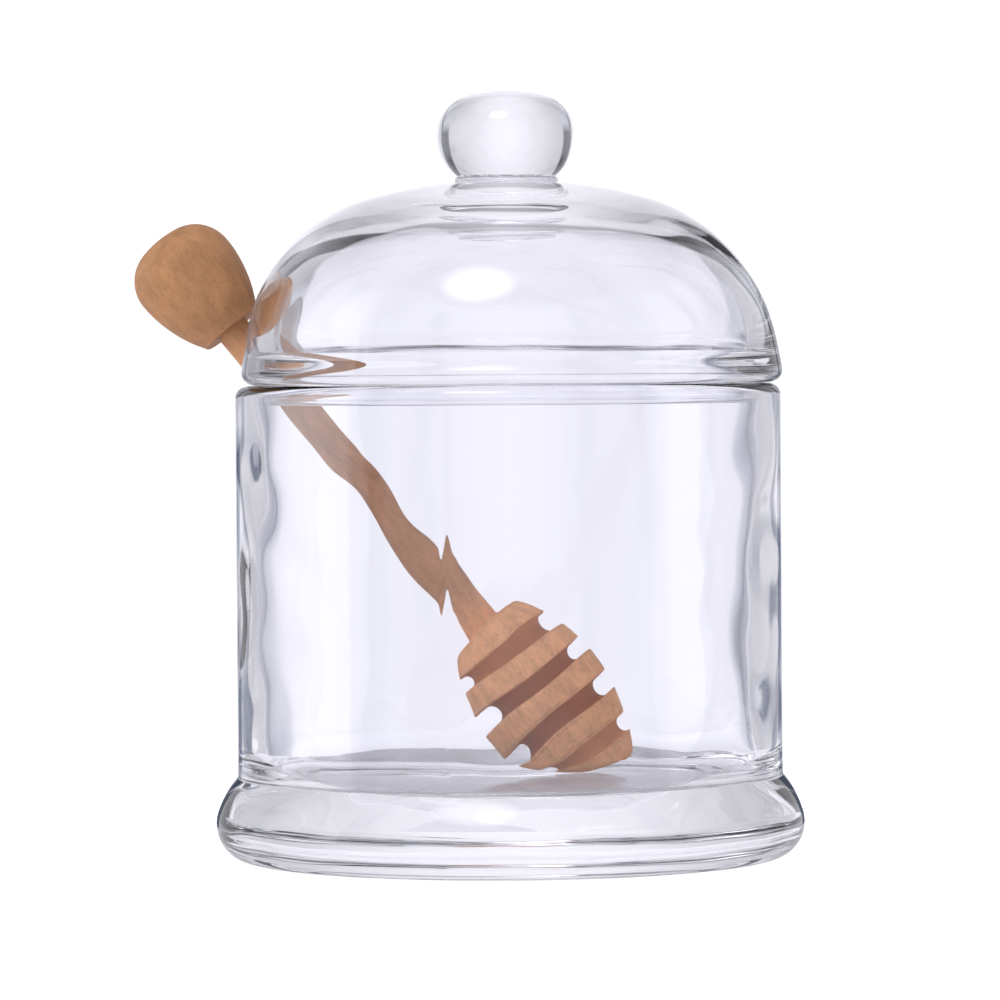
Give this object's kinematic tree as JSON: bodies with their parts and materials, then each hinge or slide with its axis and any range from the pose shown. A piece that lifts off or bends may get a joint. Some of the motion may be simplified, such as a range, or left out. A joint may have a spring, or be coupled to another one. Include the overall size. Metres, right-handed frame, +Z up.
{
  "type": "honey pot",
  "caption": "Clear glass honey pot on a flared foot, with a domed lid, a ball knob and a wooden dipper leaning out through a notch in the lid.",
  "frame": {"origin": "middle of the jar's flat underside", "axes": "+Z up along the jar's axis, -X the side where the dipper leans out through the lid's notch, -Y the front"},
  "size_m": [0.1249, 0.11, 0.143],
  "materials": {
    "jar_glass": "clear pressed glass, polished",
    "lid_glass": "clear pressed glass, polished",
    "dipper_wood": "bare turned beech, sanded"
  },
  "bodies": {
    "root": {"jar": "jar_glass", "lid": "lid_glass", "dipper": "dipper_wood"}
  },
  "joints": []
}
